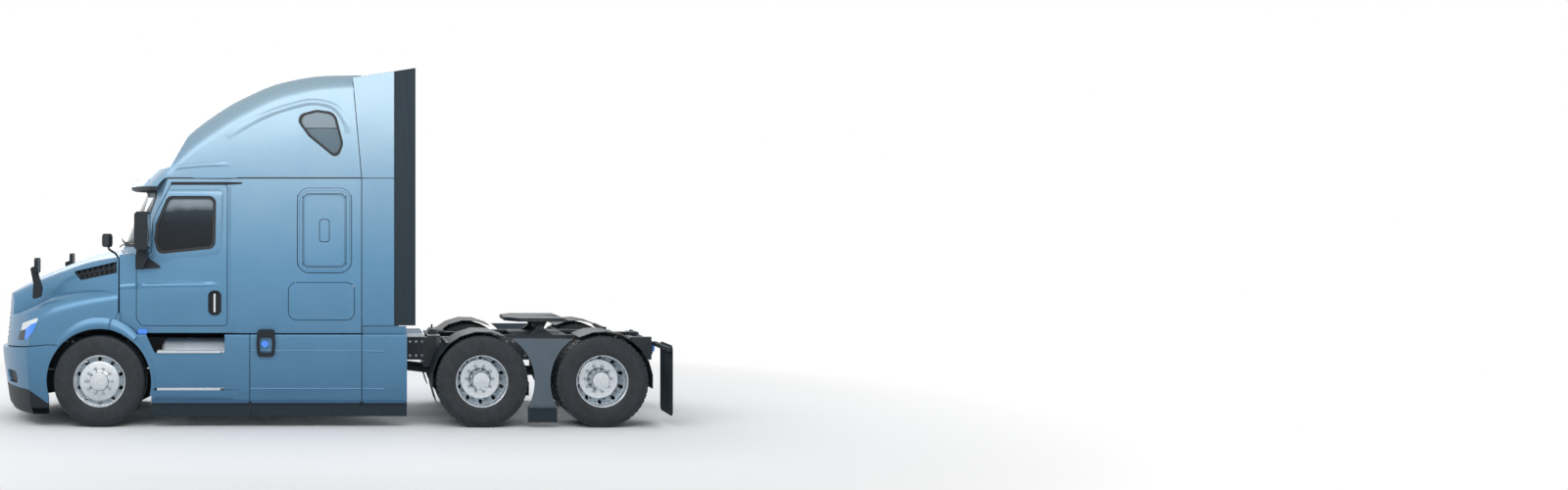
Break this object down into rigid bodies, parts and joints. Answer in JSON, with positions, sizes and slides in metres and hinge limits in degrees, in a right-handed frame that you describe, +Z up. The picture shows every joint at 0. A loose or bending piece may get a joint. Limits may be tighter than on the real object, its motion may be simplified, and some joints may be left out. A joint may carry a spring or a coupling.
{
  "type": "semi truck tractor unit",
  "caption": "Conventional sleeper-cab tractor unit with a high roof fairing, side fairings, twin drive axles and a rocking fifth wheel plate.",
  "frame": {"origin": "on the ground at the middle of the overall length and width", "axes": "-X to the front bumper, -Y to the driver's side, +Z up"},
  "size_m": [7.57, 2.98, 3.95],
  "materials": {
    "paint_blue": "metallic gloss",
    "frame_paint": "satin",
    "cast_parts": "satin",
    "black_plastic": "matte",
    "dark_trim": "satin",
    "tank_metal": "polished",
    "tread_metal": "brushed",
    "rim_metal": "polished",
    "tyre_rubber": "matte",
    "soft_rubber": "matte",
    "window_glass": "clear",
    "lamp_lens": "clear",
    "marker_blue": "gloss",
    "seat_cloth": "matte",
    "dash_plastic": "matte",
    "core_metal": "satin"
  },
  "bodies": {
    "chassis": {"frame_rails": "frame_paint", "crossmembers": "frame_paint", "engine_block": "cast_parts", "radiator": "core_metal", "drive_shafts": "frame_paint", "front_axle_beam": "cast_parts", "drive_axles": "cast_parts", "suspension": "cast_parts", "fuel_tanks": "tank_metal", "bumper": "paint_blue", "lower_skirts": "soft_rubber", "side_fairings": "paint_blue", "step_treads": "tread_metal", "filler_housing": "black_plastic", "hose_stand": "frame_paint", "fifth_wheel_base": "cast_parts", "drive_fenders": "black_plastic", "axle_fairings": "paint_blue", "mud_flaps": "soft_rubber", "marker_lamps": "marker_blue", "cab_shell": "paint_blue", "roof_fairing": "paint_blue", "cab_glass": "window_glass", "sun_visor": "dark_trim", "side_extenders": "paint_blue", "extender_edges": "soft_rubber", "seats": "seat_cloth", "dashboard": "dash_plastic"},
    "hood": {"hood_shell": "paint_blue", "grille": "dark_trim", "hood_vents": "black_plastic", "headlights": "lamp_lens", "hood_mirrors": "black_plastic"},
    "door_left": {"cab_door_left": "paint_blue", "door_glass_left": "window_glass", "door_fittings_left": "black_plastic"},
    "door_right": {"cab_door_right": "paint_blue", "door_glass_right": "window_glass", "door_fittings_right": "black_plastic"},
    "luggage_left": {"luggage_door_left": "paint_blue"},
    "luggage_right": {"luggage_door_right": "paint_blue"},
    "knuckle_body_left": {"knuckle_left": "cast_parts"},
    "knuckle_body_right": {"knuckle_right": "cast_parts"},
    "tie_rod_body": {"tie_rod": "frame_paint"},
    "steer_wheel_left": {"steer_tyre_left": "tyre_rubber", "steer_rim_left": "rim_metal"},
    "steer_wheel_right": {"steer_tyre_right": "tyre_rubber", "steer_rim_right": "rim_metal"},
    "drive_wheel_front_left": {"drive_tyres_front_left": "tyre_rubber", "drive_rims_front_left": "rim_metal"},
    "drive_wheel_front_right": {"drive_tyres_front_right": "tyre_rubber", "drive_rims_front_right": "rim_metal"},
    "drive_wheel_rear_left": {"drive_tyres_rear_left": "tyre_rubber", "drive_rims_rear_left": "rim_metal"},
    "drive_wheel_rear_right": {"drive_tyres_rear_right": "tyre_rubber", "drive_rims_rear_right": "rim_metal"},
    "coupling_plate": {"fifth_wheel_plate": "cast_parts"}
  },
  "joints": [
    {"name": "hood_tilt", "type": "hinge", "parent": "chassis", "child": "hood", "pos_m": [-3.74, 0, 0.852], "axis": [0, -1, 0], "range_deg": [0, 75]},
    {"name": "door_left_swing", "type": "hinge", "parent": "chassis", "child": "door_left", "pos_m": [-2.098, -1.15, 1.9], "axis": [0, 0, -1], "range_deg": [0, 70]},
    {"name": "door_right_swing", "type": "hinge", "parent": "chassis", "child": "door_right", "pos_m": [-2.098, 1.15, 1.9], "axis": [0, 0, 1], "range_deg": [0, 70]},
    {"name": "luggage_left_swing", "type": "hinge", "parent": "chassis", "child": "luggage_left", "pos_m": [-0.424, -1.195, 1.38], "axis": [0, 0, -1], "range_deg": [0, 90]},
    {"name": "luggage_right_swing", "type": "hinge", "parent": "chassis", "child": "luggage_right", "pos_m": [-0.424, 1.195, 1.38], "axis": [0, 0, 1], "range_deg": [0, 90]},
    {"name": "steer_left", "type": "hinge", "parent": "chassis", "child": "knuckle_body_left", "pos_m": [-2.505, -0.87, 0.505], "axis": [0, 0, 1], "range_deg": [-38, 38]},
    {"name": "steer_right", "type": "hinge", "parent": "chassis", "child": "knuckle_body_right", "pos_m": [-2.505, 0.87, 0.505], "axis": [0, 0, 1], "range_deg": [-38, 38]},
    {"name": "tie_rod_eye", "type": "hinge", "parent": "knuckle_body_left", "child": "tie_rod_body", "pos_m": [-2.315, -0.87, 0.45], "axis": [0, 0, 1], "range_deg": [-38, 38]},
    {"name": "steer_wheel_left_spin", "type": "hinge", "parent": "knuckle_body_left", "child": "steer_wheel_left", "pos_m": [-2.505, -1.062, 0.505], "axis": [0, 1, 0], "continuous": true},
    {"name": "steer_wheel_right_spin", "type": "hinge", "parent": "knuckle_body_right", "child": "steer_wheel_right", "pos_m": [-2.505, 1.062, 0.505], "axis": [0, 1, 0], "continuous": true},
    {"name": "drive_front_left_spin", "type": "hinge", "parent": "chassis", "child": "drive_wheel_front_left", "pos_m": [1.6945, -0.9185, 0.505], "axis": [0, 1, 0], "continuous": true},
    {"name": "drive_front_right_spin", "type": "hinge", "parent": "chassis", "child": "drive_wheel_front_right", "pos_m": [1.6945, 0.9185, 0.505], "axis": [0, 1, 0], "continuous": true},
    {"name": "drive_rear_left_spin", "type": "hinge", "parent": "chassis", "child": "drive_wheel_rear_left", "pos_m": [3.0155, -0.9185, 0.505], "axis": [0, 1, 0], "continuous": true},
    {"name": "drive_rear_right_spin", "type": "hinge", "parent": "chassis", "child": "drive_wheel_rear_right", "pos_m": [3.0155, 0.9185, 0.505], "axis": [0, 1, 0], "continuous": true},
    {"name": "plate_rock", "type": "hinge", "parent": "chassis", "child": "coupling_plate", "pos_m": [2.44, 0, 1.025], "axis": [0, 1, 0], "range_deg": [-12, 12]}
  ],
  "couplings": [
    {"joint": "steer_right", "follows": "steer_left", "ratio": 1},
    {"joint": "tie_rod_eye", "follows": "steer_left", "ratio": -1}
  ]
}
